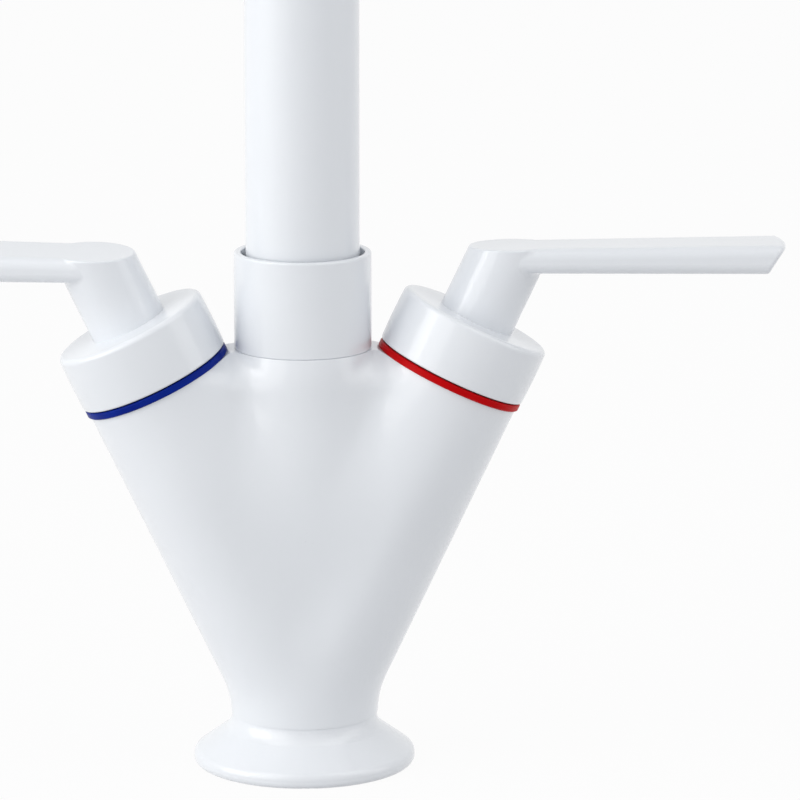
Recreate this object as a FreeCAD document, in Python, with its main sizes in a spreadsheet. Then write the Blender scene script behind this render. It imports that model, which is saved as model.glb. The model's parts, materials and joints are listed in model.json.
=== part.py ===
import FreeCAD, Part
import math
import os
import Sketcher

os.makedirs("parts", exist_ok=True)
doc = FreeCAD.newDocument("kitchen_mixer_tap")
sheet = doc.addObject("Spreadsheet::Sheet", "Sizes")

# ---------------------------------------------------------------- sizes
# Every length is in millimetres and every angle in degrees.

SIZES = {
    # foot and waist of the mixer body
    "foot_radius": 27.5,
    "foot_edge": 1.5,
    "foot_shoulder": 3.24,
    "foot_shoulder_round": 2.0,
    "foot_slope": 36.2,
    "waist_radius": 18.05,
    "waist_round": 4.6,
    "waist_top": 12.8,
    # arms and the flat roof between them
    "arm_tilt": 25.55,
    "arm_radius": 18.4,
    "arm_meet": 22.0,
    "boss_radius": 18.0,
    "boss_lip": 0.9,
    "web_half": 13.4,
    "web_lip": 8.4,
    "roof_height": 105.45,
    "roof_round": 8.0,
    # index rings, centred on the arm axes
    "ring_across": 36.2,
    "ring_height": 97.8,
    "ring_half": 0.9,
    "ring_radius": 19.05,
    "ring_bore": 14.55,
    # valve bores, measured along the arm from the middle of the index ring
    "spigot_radius": 14.5,
    "spigot_top": 5.0,
    "valve_bore": 10.5,
    "valve_bore_low": 27.0,
    "seat_bore": 9.0,
    "seat_low": 32.0,
    # spout socket and water ways in the body
    "neck_radius": 13.5,
    "neck_top": 114.0,
    "socket_bore": 10.5,
    "socket_floor": 84.0,
    "mix_bore": 7.5,
    "mix_floor": 72.0,
    "cross_height": 79.0,
    "way_bore": 3.0,
    # inlets and fixings in the foot
    "inlet_across": 7.5,
    "inlet_back": 5.0,
    "inlet_bore": 4.5,
    "inlet_depth": 14.0,
    "stud_back": 12.0,
    "stud_radius": 4.0,
    "stud_bore": 4.05,
    "stud_depth": 11.0,
    "stud_length": 63.0,
    "seal_groove_in": 20.8,
    "seal_groove_out": 24.2,
    "seal_groove_depth": 2.8,
    "deck_gap": 12.0,
    "horseshoe_radius": 23.0,
    "horseshoe_slot": 14.0,
    "horseshoe_slot_back": 9.0,
    "horseshoe_hole": 4.3,
    "rubber_plate": 3.0,
    "steel_plate": 2.5,
    "nut_half": 6.5,
    "nut_tall": 6.5,
    # collar and spout
    "collar_radius": 16.9,
    "collar_bore": 15.2,
    "collar_low_bore": 13.55,
    "collar_step": 112.0,
    "collar_top": 129.4,
    "collar_rim": 0.5,
    "tube_radius": 14.0,
    "tube_bore": 12.8,
    "tube_low": 117.1,
    "riser_top": 262.0,
    "bend_radius": 95.0,
    "tube_end": 246.0,
    "bush_low": 86.0,
    "bush_flange_low": 115.05,
    "bush_top": 137.0,
    "bush_spigot": 10.45,
    "bush_bore": 7.0,
    "bush_flange": 13.95,
    "keep_height": 99.0,
    "keep_groove": 8.8,
    "keep_groove_half": 2.7,
    "seal_high": 93.0,
    "seal_low": 88.6,
    "seal_wire": 0.88,
    "washer_thick": 1.0,
    # cap under the lever, measured along the arm from the middle of the index ring
    "cap_low": 1.2,
    "cap_top": 15.6,
    "cap_radius_low": 19.15,
    "cap_radius_top": 19.1,
    "cap_barrel": 150.0,
    "cap_cavity": 17.2,
    "cap_roof": 12.5,
    "cap_hole": 8.05,
    # lever; the two turns are where the levers rest, turned round their arms
    "stub_radius": 9.4,
    "stub_top": 35.8,
    "lever_rise": 0.43,
    "lever_reach": 68.2,
    "lever_half_root": 9.15,
    "lever_half_tip": 9.9,
    "lever_thick_root": 6.1,
    "lever_thick_tip": 7.2,
    "lever_round": 2.6,
    "lever_crease": 0.5,
    "lever_corner": 2.0,
    "lever_tip_slant": 33.0,
    "lever_tip_curve": 30.0,
    "lever_tip_round": 1.0,
    "cold_turn": -11.3,
    "hot_turn": -3.0,
    "stub_spigot": 8.0,
    "stub_spigot_low": 11.5,
    "spindle_socket": 4.1,
    "spindle_socket_top": 27.0,
    "screw_height": 21.5,
    "screw_radius": 2.5,
    "screw_bore": 2.55,
    # valve
    "valve_thread": 10.4,
    "valve_hex_half": 11.0,
    "valve_hex_top": 9.0,
    "valve_barrel": 8.6,
    "valve_barrel_top": 9.5,
    "valve_low": 29.0,
    "disc_bore": 7.0,
    "disc_bore_top": 14.0,
    "stem_bore": 4.1,
    "stem_radius": 4.05,
    "disc_radius": 6.9,
    "fixed_low": 28.8,
    "disc_face": 25.4,
    "moving_top": 22.2,
    "fork_top": 16.6,
    "stem_top": 26.0,
}

for row, (alias, number) in enumerate(SIZES.items(), start=1):
    sheet.set("A%d" % row, alias.replace("_", " "))
    sheet.set("B%d" % row, repr(number))
    sheet.setAlias("B%d" % row, alias)
doc.recompute()


class Size:
    """A number together with the sheet formula it comes from."""

    def __init__(self, value, text):
        self.value = float(value)
        self.text = text

    def __add__(self, other):
        other = plain(other)
        return Size(self.value + other.value, "(%s + %s)" % (self.text, other.text))

    def __sub__(self, other):
        other = plain(other)
        return Size(self.value - other.value, "(%s - %s)" % (self.text, other.text))

    def __mul__(self, other):
        other = plain(other)
        return Size(self.value * other.value, "(%s * %s)" % (self.text, other.text))

    def __truediv__(self, other):
        other = plain(other)
        return Size(self.value / other.value, "(%s / %s)" % (self.text, other.text))

    def __neg__(self):
        return Size(-self.value, "(0 - %s)" % self.text)

    def __rsub__(self, other):
        return plain(other) - self

    def __rmul__(self, other):
        return plain(other) * self


def plain(number):
    """Turns a bare number into a Size and leaves a Size as it is."""
    if isinstance(number, Size):
        return number
    return Size(number, repr(float(number)))


def size(alias):
    return Size(SIZES[alias], "Sizes.%s" % alias)


def cosine(angle):
    return Size(math.cos(math.radians(angle.value)), "cos(%s)" % angle.text)


def sine(angle):
    return Size(math.sin(math.radians(angle.value)), "sin(%s)" % angle.text)


def tangent(angle):
    return Size(math.tan(math.radians(angle.value)), "tan(%s)" % angle.text)


def beyond(radius, half):
    """How far a chord of this half width lies from the middle of its circle."""
    text = "sqrt(%s * %s - %s * %s)" % (radius.text, radius.text, half.text, half.text)
    return Size(math.sqrt(radius.value ** 2 - half.value ** 2), text)


def bind(thing, **lengths):
    """Sets and binds named lengths of an object."""
    for name, length in lengths.items():
        length = plain(length)
        setattr(thing, name, length.value)
        thing.setExpression(name, length.text)


def bind_place(thing, prop, x=0.0, y=0.0, z=0.0, axis=None, angle=0.0):
    """Sets and binds a position, and a turn about a fixed axis."""
    x, y, z, angle = plain(x), plain(y), plain(z), plain(angle)
    turn = FreeCAD.Rotation(FreeCAD.Vector(*(axis or (0, 0, 1))), angle.value)
    setattr(thing, prop, FreeCAD.Placement(FreeCAD.Vector(x.value, y.value, z.value), turn))
    for letter, length in (("x", x), ("y", y), ("z", z)):
        thing.setExpression("%s.Base.%s" % (prop, letter), length.text)
    thing.setExpression("%s.Rotation.Angle" % prop, angle.text)


# ---------------------------------------------------------------- building blocks


def new_body(label):
    body = doc.addObject("PartDesign::Body", label)
    body.Label = label
    return body


def plane_of(body, role):
    for feature in body.Origin.OriginFeatures:
        if feature.Role == role:
            return feature
    raise RuntimeError("no plane " + role)


def new_sketch(body, role, name):
    sketch = body.newObject("Sketcher::SketchObject", name)
    sketch.AttachmentSupport = (plane_of(body, role), [""])
    sketch.MapMode = "FlatFace"
    return sketch


def fix_point(sketch, item, end, x, y):
    """Fixes one end of a sketch item at a bound distance from the origin."""
    for kind, axis_line, length in (("DistanceX", -2, x), ("DistanceY", -1, y)):
        if length.value == 0.0:
            sketch.addConstraint(Sketcher.Constraint("PointOnObject", item, end, axis_line))
            continue
        if length.value > 0.0:
            rule = Sketcher.Constraint(kind, -1, 1, item, end, length.value)
        else:
            length = -length
            rule = Sketcher.Constraint(kind, item, end, -1, 1, length.value)
        number = sketch.addConstraint(rule)
        sketch.setExpression("Constraints[%d]" % number, length.text)


def arc_between(start, finish, radius):
    """A short arc; a positive radius bulges to the right of the way from start to finish."""
    way = finish - start
    middle = (start + finish) * 0.5
    left = FreeCAD.Vector(-way.y, way.x, 0).normalize()
    rise = math.sqrt(max(radius * radius - way.Length * way.Length / 4.0, 0.0))
    centre = middle + left * (rise if radius > 0 else -rise)
    circle = Part.Circle(centre, FreeCAD.Vector(0, 0, 1), abs(radius))
    if radius > 0:
        first, second = start - centre, finish - centre
    else:
        first, second = finish - centre, start - centre
    return Part.ArcOfCircle(circle, math.atan2(first.y, first.x), math.atan2(second.y, second.x))


def draw_outline(sketch, points, closed=True):
    """Draws an outline; a third value on a point curves the side that follows it."""
    spots = [(plain(p[0]), plain(p[1])) for p in points]
    curves = [plain(p[2]) if len(p) > 2 else None for p in points]
    ends = []
    sides = len(spots) if closed else len(spots) - 1
    for index in range(sides):
        x, y = spots[index]
        nx, ny = spots[(index + 1) % len(spots)]
        start = FreeCAD.Vector(x.value, y.value, 0)
        finish = FreeCAD.Vector(nx.value, ny.value, 0)
        curve = curves[index]
        if curve is None:
            item = sketch.addGeometry(Part.LineSegment(start, finish), False)
            ends.append((item, 1, 2))
            continue
        item = sketch.addGeometry(arc_between(start, finish, curve.value), False)
        ends.append((item, 1, 2) if curve.value > 0 else (item, 2, 1))
    for index in range(sides if closed else sides - 1):
        item, _, last = ends[index]
        after, after_first, _ = ends[(index + 1) % sides]
        sketch.addConstraint(Sketcher.Constraint("Coincident", item, last, after, after_first))
    if not closed:
        fix_point(sketch, ends[-1][0], ends[-1][2], *spots[-1])
    for index in range(sides):
        item, first, _ = ends[index]
        fix_point(sketch, item, first, *spots[index])
        curve = curves[index]
        if curve is not None:
            if curve.value < 0:
                curve = -curve
            number = sketch.addConstraint(Sketcher.Constraint("Radius", item, curve.value))
            sketch.setExpression("Constraints[%d]" % number, curve.text)


def draw_circle(sketch, x, y, radius):
    x, y, radius = plain(x), plain(y), plain(radius)
    centre = FreeCAD.Vector(x.value, y.value, 0)
    circle = Part.Circle(centre, FreeCAD.Vector(0, 0, 1), radius.value)
    item = sketch.addGeometry(circle, False)
    fix_point(sketch, item, 3, x, y)
    number = sketch.addConstraint(Sketcher.Constraint("Radius", item, radius.value))
    sketch.setExpression("Constraints[%d]" % number, radius.text)


def turned(label, points):
    """A body turned about its own Z axis from an outline of radius and height."""
    body = new_body(label)
    sketch = new_sketch(body, "XZ_Plane", label + "_outline")
    draw_outline(sketch, points)
    turn = body.newObject("PartDesign::Revolution", label + "_turn")
    turn.Profile = sketch
    turn.ReferenceAxis = (sketch, ["V_Axis"])
    turn.Angle = 360.0
    sketch.Visibility = False
    doc.recompute()
    return body


def turned_ring(label, inner, outer, low, high, edge=0.0):
    """A flat ring or tube with its four corners bevelled by edge."""
    inner, outer, low, high = plain(inner), plain(outer), plain(low), plain(high)
    if not edge:
        return turned(label, [(inner, low), (outer, low), (outer, high), (inner, high)])
    return turned(label, [
        (inner + edge, low), (outer - edge, low), (outer, low + edge), (outer, high - edge),
        (outer - edge, high), (inner + edge, high), (inner, high - edge), (inner, low + edge),
    ])


def padded(label, draw, length, role="XY_Plane"):
    """A body padded from a sketch; draw fills in the sketch."""
    body = new_body(label)
    sketch = new_sketch(body, role, label + "_outline")
    draw(sketch)
    pad = body.newObject("PartDesign::Pad", label + "_pad")
    pad.Profile = sketch
    bind(pad, Length=length)
    sketch.Visibility = False
    doc.recompute()
    return body


def cut_through(body, role, draw, name, length, both_ways=True):
    """Cuts a pocket drawn on one of the body's own planes, the same way to both sides."""
    sketch = new_sketch(body, role, name + "_outline")
    draw(sketch)
    pocket = body.newObject("PartDesign::Pocket", name)
    pocket.Profile = sketch
    pocket.Midplane = both_ways
    bind(pocket, Length=length)
    sketch.Visibility = False
    before = body.Shape.Volume
    doc.recompute()
    if not body.Shape.Volume < before - 1e-3:
        raise RuntimeError(name + " cuts nothing")
    return pocket


def circles_at(shape, radius, height):
    """Names of the round edges with this radius at this height about the Z axis."""
    names = []
    for number, edge in enumerate(shape.Edges, start=1):
        curve = edge.Curve
        if not isinstance(curve, Part.Circle):
            continue
        flat = math.hypot(curve.Center.x, curve.Center.y) < 1e-4
        if flat and abs(curve.Radius - radius) < 1e-4 and abs(curve.Center.z - height) < 1e-4:
            names.append("Edge%d" % number)
    return names


def edges_where(shape, wanted):
    """Names of the edges whose middle and length pass the test."""
    names = []
    for number, edge in enumerate(shape.Edges, start=1):
        if wanted(edge.CenterOfMass, edge.Length):
            names.append("Edge%d" % number)
    return names


def round_edges(body, wanted, by, name):
    """Rounds every edge that passes the test."""
    tip = body.Tip
    edges = edges_where(tip.Shape, wanted)
    if not edges:
        raise RuntimeError(name + " finds no edge")
    fillet = body.newObject("PartDesign::Fillet", name)
    fillet.Base = (tip, edges)
    bind(fillet, Radius=by)
    doc.recompute()


def round_off(body, radius, height, by, name):
    """Rounds the turned edge at this radius and height."""
    radius, height, by = plain(radius), plain(height), plain(by)
    tip = body.Tip
    edges = circles_at(tip.Shape, radius.value, height.value)
    if not edges:
        raise RuntimeError(name + " finds no edge")
    fillet = body.newObject("PartDesign::Fillet", name)
    fillet.Base = (tip, edges)
    bind(fillet, Radius=by)
    doc.recompute()
    return fillet


def cylinder(name, radius, height, x=0.0, y=0.0, z=0.0, axis=None, angle=0.0):
    """A plain cylinder used as a cutter or a core."""
    drum = doc.addObject("Part::Cylinder", name)
    bind(drum, Radius=radius, Height=height)
    bind_place(drum, "Placement", x, y, z, axis, angle)
    return drum


def on_arm(side, along):
    """The point on an arm axis this far along it from the middle of the index ring."""
    across = size("ring_across") + along * sine(size("arm_tilt"))
    return side * across, size("ring_height") + along * cosine(size("arm_tilt"))


def set_on_arm(piece, side, turn=0.0, along=0.0):
    """Stands a piece on an arm: its Z axis along the arm, its origin this far past the index ring."""
    tilt = FreeCAD.Rotation(FreeCAD.Vector(0, 1, 0), side * SIZES["arm_tilt"])
    spin = FreeCAD.Rotation(FreeCAD.Vector(0, 0, 1), turn + (0.0 if side > 0 else 180.0))
    piece.setExpression("Placement.Rotation.Angle", None)
    piece.Placement = FreeCAD.Placement(FreeCAD.Vector(), tilt.multiply(spin))
    x, z = on_arm(side, plain(along))
    piece.setExpression("Placement.Base.x", x.text)
    piece.setExpression("Placement.Base.z", z.text)


def stand_at(body, x=0.0, y=0.0, z=0.0, axis=None, angle=0.0):
    bind_place(body, "Placement", x, y, z, axis, angle)


# ---------------------------------------------------------------- mixer body


def smooth_high(first, second, soft):
    """The higher of two numbers, rounded over where they come within soft of each other."""
    near = max(soft - abs(first - second), 0.0) / soft
    return max(first, second) + near * near * soft / 4.0


def ease(low, high, at):
    """Climbs smoothly from 0 at low to 1 at high."""
    share = min(max((at - low) / (high - low), 0.0), 1.0)
    return share * share * (3.0 - 2.0 * share)


def body_section(height):
    """The closed outline of the mixer body's skin at one height."""
    tilt = math.radians(SIZES["arm_tilt"])
    spread = (height - SIZES["arm_meet"]) * math.tan(tilt)
    arm_end = SIZES["arm_radius"] / math.cos(tilt) + spread
    end = smooth_high(SIZES["waist_radius"], arm_end, 2.6)
    centre = smooth_high(0.0, spread, 4.0)
    half_x = end - centre
    arm_share = ease(SIZES["waist_top"], 40.0, height)
    half_y = SIZES["waist_radius"] + (SIZES["arm_radius"] - SIZES["waist_radius"]) * arm_share
    near_roof = max(1.0 - (SIZES["roof_height"] - height) / SIZES["roof_round"], 0.0) ** 2
    boss = SIZES["boss_radius"] - 4.0 * (1.0 - ease(30.0, 65.0, height)) - SIZES["boss_lip"] * near_roof
    web = (SIZES["web_half"] - SIZES["web_lip"] * near_roof) ** 2
    soft = 30.0 + 360.0 * ease(16.0, 80.0, height) - 310.0 * ease(70.0, SIZES["roof_height"], height)

    def depth(x):
        right = half_y ** 2 * (1.0 - ((x - centre) / half_x) ** 2)
        left = half_y ** 2 * (1.0 - ((x + centre) / half_x) ** 2)
        past = max(abs(x) - centre, 0.0) / (0.55 * half_x)
        arms = smooth_high(right, left, soft)
        middle = smooth_high(arms, boss ** 2 - x ** 2, soft)
        return math.sqrt(max(smooth_high(middle, web * (1.0 - past ** 2), soft), 0.0))

    points = []
    count = 128
    for step in range(count):
        angle = 2.0 * math.pi * step / count
        x = end * math.cos(angle)
        y = depth(x) if step % (count // 2) else 0.0
        points.append(FreeCAD.Vector(x, math.copysign(y, math.sin(angle)), height))
    curve = Part.BSplineCurve()
    knots = [step / count for step in range(count + 1)]
    curve.interpolate(Points=points, PeriodicFlag=True, Parameters=knots)
    return Part.Wire([curve.toShape()])


def body_skin():
    """The waist, the two arms and the web between them, before the roof is cut."""
    heights = [SIZES["waist_top"], 14.0, 16.5, 20.0, 25.0, 32.0, 41.0, 51.0, 61.0, 71.0, 81.0, 91.0]
    heights += [SIZES["roof_height"] + rise for rise in (-9.5, -7.0, -5.0, -3.3, -1.6, 0.0, 1.5)]
    skin = doc.addObject("Part::Feature", "body_skin")
    skin.Shape = Part.makeLoft([body_section(height) for height in heights], True, False)
    return skin


def body_foot():
    """The round foot with its sloping shoulder."""
    rise = (size("foot_radius") - size("waist_radius")) * tangent(size("foot_slope"))
    corner = size("foot_shoulder") + rise
    foot = turned("body_foot", [
        (0.0, 0.0),
        (size("foot_radius"), 0.0),
        (size("foot_radius"), size("foot_shoulder")),
        (size("waist_radius"), corner),
        (size("waist_radius"), size("waist_top")),
        (0.0, size("waist_top")),
    ])
    round_off(foot, size("foot_radius"), 0.0, size("foot_edge"), "foot_lower_round")
    round_off(foot, size("foot_radius"), size("foot_shoulder"), size("foot_shoulder_round"),
              "foot_upper_round")
    round_off(foot, size("waist_radius"), corner, size("waist_round"), "waist_hollow")
    return foot


def above_arm(side, name):
    """A block that takes away everything above the seat of an index ring."""
    block = doc.addObject("Part::Box", name)
    bind(block, Length=170.0, Width=90.0, Height=60.0)
    tilt = size("arm_tilt")
    x, z = on_arm(side, -size("ring_half"))
    corner_x = x - 85.0 * cosine(tilt)
    corner_z = z + side * 85.0 * sine(tilt)
    bind_place(block, "Placement", corner_x, -45.0, corner_z, (0, 1, 0), side * tilt)
    return block


def arm_drum(name, side, radius, low, high):
    """A cylinder along an arm between two distances from the middle of the index ring."""
    low, high = plain(low), plain(high)
    x, z = on_arm(side, low)
    return cylinder(name, radius, high - low, x, 0.0, z, (0, 1, 0), side * size("arm_tilt"))


def water_way(name, side):
    """The slanting way from an inlet up to the valve seat."""
    across = side * size("inlet_across")
    x, z = on_arm(side, -size("seat_low") + 1.0)
    low = FreeCAD.Vector(across.value, -SIZES["inlet_back"], SIZES["inlet_depth"] - 1.0)
    way = FreeCAD.Vector(x.value, 0.0, z.value) - low
    drum = doc.addObject("Part::Cylinder", name)
    bind(drum, Radius=size("way_bore"))
    drum.Height = way.Length
    drum.Placement = FreeCAD.Placement(low, FreeCAD.Rotation(FreeCAD.Vector(0, 0, 1), way))
    return drum


def join(kind, name, pieces):
    whole = doc.addObject(kind, name)
    whole.Shapes = pieces
    return whole


def take(name, base, tool):
    rest = doc.addObject("Part::Cut", name)
    rest.Base = base
    rest.Tool = tool
    return rest


def mixer_body():
    shell = join("Part::MultiFuse", "body_shell", [body_skin(), body_foot()])
    roof = doc.addObject("Part::Box", "above_roof")
    bind(roof, Length=120.0, Width=80.0, Height=40.0)
    bind_place(roof, "Placement", -60.0, -40.0, size("roof_height"))
    tops = join("Part::MultiFuse", "above_body", [
        roof, above_arm(-1, "above_cold_arm"), above_arm(1, "above_hot_arm"),
    ])
    outside = join("Part::MultiFuse", "body_outside", [
        take("body_trimmed", shell, tops),
        cylinder("neck", size("neck_radius"), size("neck_top") - 90.0, 0.0, 0.0, 90.0),
        arm_drum("cold_spigot", -1, size("spigot_radius"), -8.0, size("spigot_top")),
        arm_drum("hot_spigot", 1, size("spigot_radius"), -8.0, size("spigot_top")),
    ])
    groove = take(
        "seal_groove",
        cylinder("seal_groove_out", size("seal_groove_out"), size("seal_groove_depth") + 2.0, z=-2.0),
        cylinder("seal_groove_in", size("seal_groove_in"), size("seal_groove_depth") + 4.0, z=-3.0),
    )
    bores = [
        groove,
        cylinder("socket", size("socket_bore"), 40.0, z=size("socket_floor")),
        cylinder("mixing_chamber", size("mix_bore"), 20.0, z=size("mix_floor")),
        cylinder("cross_way", size("way_bore"), 48.0, -24.0, 0.0, size("cross_height"), (0, 1, 0), 90.0),
        cylinder("keep_hole", size("screw_bore"), 16.0, 0.0, 8.0, size("keep_height"), (1, 0, 0), -90.0),
        cylinder("stud_hole", size("stud_bore"), size("stud_depth") + 3.0, 0.0, size("stud_back"), -3.0),
    ]
    for side, name in ((-1, "cold"), (1, "hot")):
        bores.append(arm_drum(name + "_valve_bore", side, size("valve_bore"), -size("valve_bore_low"), 12.0))
        bores.append(arm_drum(name + "_seat_bore", side, size("seat_bore"), -size("seat_low"), -20.0))
        bores.append(water_way(name + "_way", side))
        bores.append(cylinder(name + "_inlet", size("inlet_bore"), size("inlet_depth") + 3.0,
                              side * size("inlet_across"), -size("inlet_back"), -3.0))
    body = take("mixer_body", outside, join("Part::MultiFuse", "body_bores", bores))
    doc.recompute()
    return body


# ---------------------------------------------------------------- spout


def spout_collar():
    collar = turned("spout_collar", [
        (size("collar_low_bore"), size("roof_height")),
        (size("collar_radius"), size("roof_height")),
        (size("collar_radius"), size("collar_top")),
        (size("collar_bore"), size("collar_top")),
        (size("collar_bore"), size("collar_step")),
        (size("collar_low_bore"), size("collar_step")),
    ])
    round_off(collar, size("collar_radius"), size("collar_top"), size("collar_rim"), "collar_rim_outside")
    round_off(collar, size("collar_bore"), size("collar_top"), 0.4, "collar_rim_inside")
    round_off(collar, size("collar_radius"), size("roof_height"), 0.3, "collar_foot_round")
    return collar


def spout_tube():
    """The tube of the swan neck, swept along its centre line."""
    body = new_body("spout_tube")
    reach = 2.0 * size("bend_radius")
    path = new_sketch(body, "YZ_Plane", "spout_path")
    draw_outline(path, [
        (0.0, size("tube_low")),
        (0.0, size("riser_top"), size("bend_radius")),
        (-size("bend_radius"), size("riser_top") + size("bend_radius"), size("bend_radius")),
        (-reach, size("riser_top")),
        (-reach, size("tube_end")),
    ], closed=False)
    ring = new_sketch(body, "XY_Plane", "spout_section")
    bind_place(ring, "AttachmentOffset", z=size("tube_low"))
    draw_circle(ring, 0.0, 0.0, size("tube_radius"))
    draw_circle(ring, 0.0, 0.0, size("tube_bore"))
    doc.recompute()
    sweep = body.newObject("PartDesign::AdditivePipe", "spout_sweep")
    sweep.Profile = ring
    sweep.Spine = (path, ["Edge1", "Edge2", "Edge3", "Edge4"])
    path.Visibility = False
    ring.Visibility = False
    doc.recompute()
    return body


def spout_bush():
    """The turned spigot under the tube, with two seal grooves and a keeping groove."""
    spigot = size("bush_spigot")
    outline = [
        (size("bush_bore"), size("bush_low")),
        (spigot - 0.6, size("bush_low")),
        (spigot, size("bush_low") + 0.6),
    ]
    grooves = (
        (size("seal_low"), plain(1.2), plain(8.7)),
        (size("seal_high"), plain(1.2), plain(8.7)),
        (size("keep_height"), size("keep_groove_half"), size("keep_groove")),
    )
    for middle, half, floor in grooves:
        low, high = middle - half, middle + half
        outline += [(spigot, low), (floor, low), (floor, high), (spigot, high)]
    outline += [
        (spigot, size("bush_flange_low")),
        (size("bush_flange"), size("bush_flange_low")),
        (size("bush_flange"), size("tube_low")),
        (size("tube_bore") - 0.05, size("tube_low")),
        (size("tube_bore") - 0.05, size("bush_top")),
        (size("tube_bore") - 2.0, size("bush_top")),
        (size("bush_bore"), size("bush_top") - 7.0),
    ]
    return turned("spout_bush", outline)


def wire_ring(name, radius, wire, x=0.0, y=0.0, z=0.0):
    ring = doc.addObject("Part::Torus", name)
    bind(ring, Radius1=radius, Radius2=wire)
    bind_place(ring, "Placement", x, y, z)
    return ring


def spout_seals():
    radius = size("socket_bore") - size("seal_wire") - 0.02
    return join_loose("spout_seals", [
        wire_ring("upper_spout_seal", radius, size("seal_wire"), z=size("seal_high")),
        wire_ring("lower_spout_seal", radius, size("seal_wire"), z=size("seal_low")),
    ])


def join_loose(label, pieces):
    """Several separate pieces that share one node."""
    group = doc.addObject("Part::Compound", label)
    group.Label = label
    group.Links = pieces
    doc.recompute()
    return group


def socket_screw(label, radius, length, socket_half):
    """A headless screw with a hexagon socket in its far end and a bevelled tip at its origin."""
    screw = turned(label, [
        (0.0, 0.0), (radius - 0.7, 0.0), (radius, 0.7),
        (radius, length - 0.3), (radius - 0.3, length), (0.0, length),
    ])
    sketch = new_sketch(screw, "XY_Plane", label + "_socket_outline")
    bind_place(sketch, "AttachmentOffset", z=length)
    draw_hexagon(sketch, socket_half)
    pocket = screw.newObject("PartDesign::Pocket", label + "_socket")
    pocket.Profile = sketch
    bind(pocket, Length=0.5 * plain(length))
    sketch.Visibility = False
    doc.recompute()
    return screw


def draw_hexagon(sketch, half):
    """A hexagon half as wide across its flats as it says, with a point towards +X."""
    half = plain(half)
    point = half * (2.0 / math.sqrt(3.0))
    side = point * 0.5
    draw_outline(sketch, [
        (point, 0.0), (side, half), (-side, half), (-point, 0.0), (-side, -half), (side, -half),
    ])


def nozzle_housing():
    return turned("nozzle_housing", [
        (9.8, 0.0), (size("tube_radius") - 0.7, 0.0), (size("tube_radius"), 0.7),
        (size("tube_radius"), 7.75), (size("tube_radius") - 0.25, 8.0), (size("tube_bore") - 0.05, 8.0),
        (size("tube_bore") - 0.05, 16.0), (11.0, 16.0), (11.0, 1.6), (9.8, 1.6),
    ])


def drilled_disc(label, radius, hole, thick):
    """A round plate with a middle hole and two rings of holes round it."""
    def draw(sketch):
        draw_circle(sketch, 0.0, 0.0, radius)
        draw_circle(sketch, 0.0, 0.0, hole)
        for count, ring in ((6, 4.1), (12, 8.1)):
            for step in range(count):
                angle = 2.0 * math.pi * (step + 0.5) / count
                draw_circle(sketch, ring * math.cos(angle), ring * math.sin(angle), hole)
    return padded(label, draw, thick)


# ---------------------------------------------------------------- cap and lever


def cap(label):
    body = turned(label, [
        (size("cap_cavity"), size("cap_low")),
        (size("cap_radius_low"), size("cap_low"), size("cap_barrel")),
        (size("cap_radius_top"), size("cap_top")),
        (size("cap_hole"), size("cap_top")),
        (size("cap_hole"), size("cap_roof")),
        (size("cap_cavity"), size("cap_roof")),
    ])
    round_off(body, size("cap_radius_top"), size("cap_top"), 1.3, label + "_top_round")
    round_off(body, size("cap_radius_low"), size("cap_low"), 0.5, label + "_low_round")
    return body


def lever_angle():
    """How far the lever's flat top leans up from square to the stub."""
    return size("arm_tilt") + size("lever_rise")


def beside_top(along, above):
    """A point measured along the lever's flat top from the stub's axis, and above it."""
    along, above = plain(along), plain(above)
    lean = lever_angle()
    x = along * cosine(lean) - above * sine(lean)
    z = size("stub_top") + along * sine(lean) + above * cosine(lean)
    return x, z


def lever_section(body, name, along, half, thick):
    """A rounded section of the lever's bar, square to its flat top."""
    sketch = new_sketch(body, "YZ_Plane", name)
    x, z = beside_top(along, 0.0)
    bind_place(sketch, "AttachmentOffset", 0.0, z, x, (1, 0, 0), -lever_angle())
    by = size("lever_round")
    draw_outline(sketch, [
        (half, by - thick),
        (half, -by, by),
        (half - by, 0.0),
        (by - half, 0.0, by),
        (-half, -by),
        (-half, by - thick, by),
        (by - half, -thick),
        (half - by, -thick, by),
    ])
    return sketch


def is_corner(middle, length):
    """Whether an edge lies in the inner corner between the stub and the underside of the bar."""
    lean = math.radians(lever_angle().value)
    above = (middle.z - SIZES["stub_top"]) * math.cos(lean) - middle.x * math.sin(lean)
    return length < 10.0 and 3.0 < middle.x < 12.0 and -7.5 < above < -2.0


def lever_tip_cut(body, name):
    """Cuts the end of the bar to an arc that leans back towards the underside."""
    reach, curve, half = size("lever_reach"), size("lever_tip_curve"), plain(15.0)
    back = curve - beyond(curve, half)
    sketch = new_sketch(body, "XY_Plane", name + "_outline")
    bind_place(sketch, "AttachmentOffset", z=size("stub_top"), axis=(0, 1, 0), angle=-lever_angle())
    draw_outline(sketch, [
        (reach - back, -half, curve), (reach - back, half), (reach + half, half), (reach + half, -half),
    ])
    cut = body.newObject("PartDesign::Pocket", name)
    cut.Profile = sketch
    cut.Midplane = True
    cut.UseCustomVector = True
    lean = math.radians(SIZES["lever_tip_slant"] - lever_angle().value)
    cut.Direction = FreeCAD.Vector(math.sin(lean), 0.0, math.cos(lean))
    bind(cut, Length=40.0)
    sketch.Visibility = False
    before = body.Shape.Volume
    doc.recompute()
    if not body.Shape.Volume < before - 1e-3:
        raise RuntimeError(name + " cuts nothing")


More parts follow.
